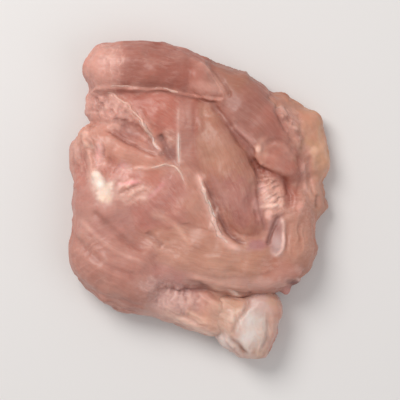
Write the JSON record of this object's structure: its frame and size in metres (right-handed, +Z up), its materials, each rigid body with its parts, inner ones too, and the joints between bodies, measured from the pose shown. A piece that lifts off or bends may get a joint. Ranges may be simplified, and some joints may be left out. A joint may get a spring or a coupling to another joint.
{
  "type": "raw chicken thigh cutlet",
  "caption": "Raw skinless chicken thigh cutlet on the bone, folded flat at the knee, with overlapping muscles, fat pads and a bare leg bone joint showing at the shank's end.",
  "frame": {"origin": "middle of the footprint's box, on the flat underside", "axes": "+Z up out of the seat, +Y towards the top muscle along the longest side, +X towards the fat pads"},
  "size_m": [0.1062, 0.1276, 0.0284],
  "materials": {
    "flesh": "moist raw meat, semi-gloss, mauve pink to tan with pale membranes and yellow-tan fat",
    "bone": "moist cartilage and tendon, off-white to cream"
  },
  "bodies": {
    "root": {"thigh_flesh": "flesh", "leg_bone": "bone"}
  },
  "joints": []
}
